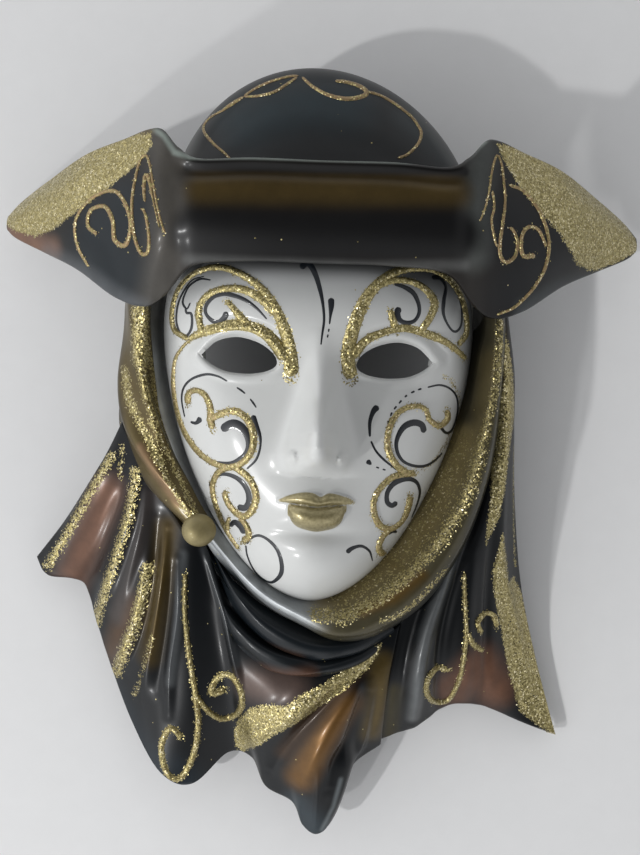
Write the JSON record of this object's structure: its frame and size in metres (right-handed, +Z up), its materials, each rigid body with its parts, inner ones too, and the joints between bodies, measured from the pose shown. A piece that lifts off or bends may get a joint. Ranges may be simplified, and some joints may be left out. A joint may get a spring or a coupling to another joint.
{
  "type": "venetian masquerade wall mask",
  "caption": "Ceramic wall mask: a painted volto face under a tricorn hat, with a twisted scarf, rolled collar and pleated drapes, hung on a nail.",
  "frame": {"origin": "where the nail bears: the top of the nail hole in the hanging web, on the wall plane", "axes": "+Z up as the mask hangs, +Y into the wall, the face looks along -Y, +X to the viewer's right"},
  "size_m": [0.253, 0.0873, 0.3018],
  "materials": {
    "white_glaze": "glossy white glaze",
    "black_glaze": "glossy black paint over glaze",
    "bronze_lustre": "satin bronze and black airbrush",
    "silver_grey": "satin silver grey",
    "gilt_paint": "olive gold metallic paint",
    "gold_glitter": "coarse gold glitter in glue",
    "raw_bisque": "matt unglazed back"
  },
  "bodies": {
    "root": {"face_shell": "white_glaze", "hat_brim": "bronze_lustre", "hat_crown": "black_glaze", "hanging_web": "raw_bisque", "hood_rim": "silver_grey", "scarf_button": "gilt_paint", "scarf_twist": "bronze_lustre", "collar_roll": "bronze_lustre", "cowl_fold_upper": "black_glaze", "cowl_fold_lower": "black_glaze", "drape_left": "black_glaze", "drape_centre": "bronze_lustre", "drape_right": "black_glaze", "brow_scroll_left": "gold_glitter", "brow_scroll_right": "gold_glitter", "cheek_scroll_left": "gold_glitter", "cheek_scroll_right": "gold_glitter", "wing_scroll_left": "gold_glitter", "wing_scroll_right": "gold_glitter", "drape_scroll_left": "gold_glitter", "drape_scroll_right": "gold_glitter"}
  },
  "joints": []
}
